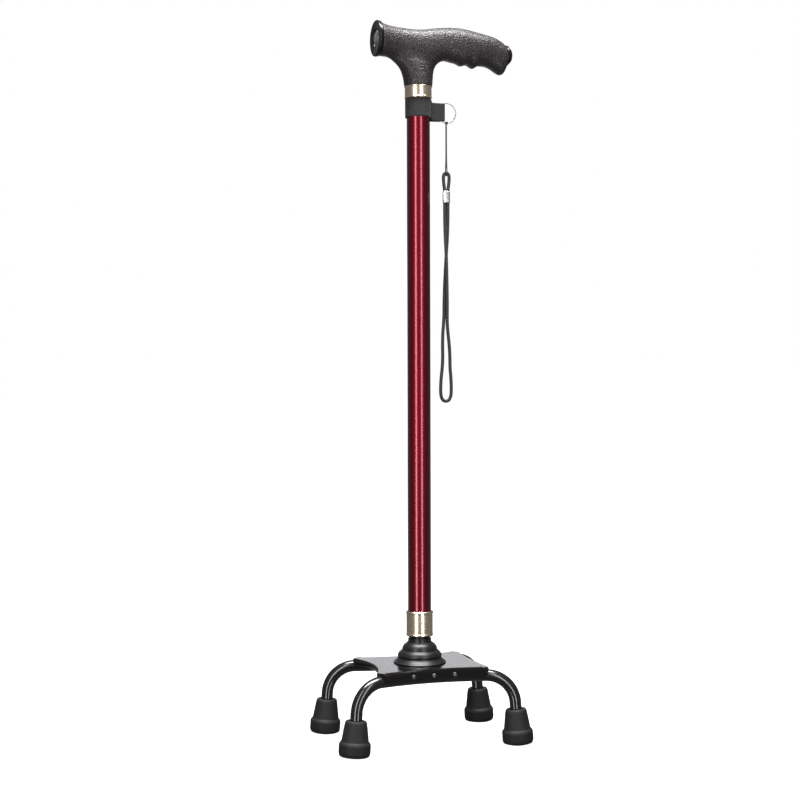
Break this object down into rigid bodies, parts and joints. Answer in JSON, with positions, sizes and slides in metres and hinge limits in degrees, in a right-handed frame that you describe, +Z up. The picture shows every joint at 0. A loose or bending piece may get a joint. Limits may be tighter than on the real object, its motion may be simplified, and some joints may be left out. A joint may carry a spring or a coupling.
{
  "type": "quad walking cane",
  "caption": "Height-adjustable walking cane with a torch in its T-handle, a wrist strap and a broad base on splayed legs with rubber tips.",
  "frame": {"origin": "on the floor, under the shaft's axis, midway between the feet", "axes": "+Z up the shaft; the torch shines along -X and the grip's free end is at +X; the adjusting holes face +Y"},
  "size_m": [0.216, 0.1488, 0.7712],
  "materials": {
    "base_black": "gloss black powder coat",
    "rivet_steel": "domed rivet heads, darkened",
    "tip_rubber": "matte dark grey rubber",
    "zinc_steel": "zinc plated",
    "cast_fitting": "black casting",
    "plain_aluminium": "turned, not coated",
    "black_tube": "black anodised",
    "black_plastic": "moulded",
    "boot_black": "glossy black moulding",
    "spring_steel": "spring strip",
    "button_steel": "polished",
    "shaft_red": "wine red anodised",
    "nylon": "natural nylon",
    "champagne_ring": "champagne anodised, satin",
    "grip_charcoal": "charcoal with a leather grain",
    "gloss_black": "gloss black",
    "seal_rubber": "soft seal",
    "clear_lens": "clear moulded lens",
    "mirror_cup": "metallised cup",
    "circuit_board": "solder mask",
    "led_resin": "clear yellowish resin",
    "contact_brass": "plated contact",
    "cell_wrap": "plain printed sleeve, no marks",
    "wire_sleeve": "red and black insulation",
    "strap_webbing": "woven nylon with a hook-and-loop face",
    "ring_steel": "nickel plated wire",
    "cord_black": "braided black cord",
    "crimp_metal": "bright flattened sleeve"
  },
  "bodies": {
    "base": {"base_plate": "base_black", "left_leg_tube": "base_black", "right_leg_tube": "base_black", "plate_rivets": "rivet_steel", "tip_front_left": "tip_rubber", "tip_front_right": "tip_rubber", "tip_rear_left": "tip_rubber", "tip_rear_right": "tip_rubber", "tip_washers": "zinc_steel", "post_socket": "cast_fitting", "post_bolt": "zinc_steel", "post_washer": "zinc_steel", "lock_washer": "zinc_steel", "post_plug": "plain_aluminium", "inner_tube": "black_tube", "inner_glide": "black_plastic", "boot": "boot_black", "button_spring": "spring_steel"},
    "snap_button": {"snap_button": "button_steel"},
    "shaft": {"shaft_tube": "shaft_red", "thread_sleeve": "plain_aluminium", "guide_bushing": "nylon", "handle_ring": "champagne_ring", "handle": "grip_charcoal", "handle_screw": "zinc_steel", "torch_barrel": "plain_aluminium", "torch_bezel": "gloss_black", "torch_seal": "seal_rubber", "torch_lens": "clear_lens", "reflector": "mirror_cup", "led_board": "circuit_board", "led": "led_resin", "contact_spring": "contact_brass", "batteries": "cell_wrap", "rear_contact": "contact_brass", "switch_wires": "wire_sleeve", "switch_body": "black_plastic", "tail_cap": "gloss_black", "strap_band": "strap_webbing"},
    "grip_ring": {"grip_ring": "nylon"},
    "collar": {"lock_collar": "champagne_ring"},
    "switch_button": {"switch_button": "gloss_black"},
    "ring": {"split_ring": "ring_steel"},
    "strap": {"tether_knot": "cord_black", "tether_cord": "cord_black", "cord_eye": "cord_black", "cord_crimp": "crimp_metal", "wrist_cord": "cord_black"}
  },
  "joints": [
    {"name": "height_slide", "type": "slide", "parent": "base", "child": "shaft", "axis": [0, 0, 1], "range_m": [0, 0.15]},
    {"name": "button_press", "type": "slide", "parent": "base", "child": "snap_button", "axis": [0, -1, 0], "range_m": [0, 0.0035], "stiffness_N_per_m": 500, "springref_m": -0.004, "deforming": ["button_spring"]},
    {"name": "collar_travel", "type": "slide", "parent": "shaft", "child": "grip_ring", "axis": [0, 0, -1], "range_m": [0, 0.00112]},
    {"name": "collar_turn", "type": "hinge", "parent": "grip_ring", "child": "collar", "pos_m": [0, 0, 0.11], "axis": [0, 0, -1], "range_deg": [0, 270]},
    {"name": "switch_press", "type": "slide", "parent": "shaft", "child": "switch_button", "axis": [-1, 0, 0], "range_m": [0, 0.0015], "stiffness_N_per_m": 800, "springref_m": -0.002},
    {"name": "ring_swing", "type": "hinge", "parent": "shaft", "child": "ring", "pos_m": [0.0254, 0, 0.6762], "axis": [0, 0, 1], "range_deg": [-15, 15]},
    {"name": "strap_swing", "type": "hinge", "parent": "ring", "child": "strap", "pos_m": [0.0322, 0, 0.6656], "axis": [1, 0, 0], "range_deg": [-40, 40]}
  ],
  "couplings": [
    {"joint": "collar_turn", "follows": "collar_travel", "rad_per_m": 4188.8}
  ]
}
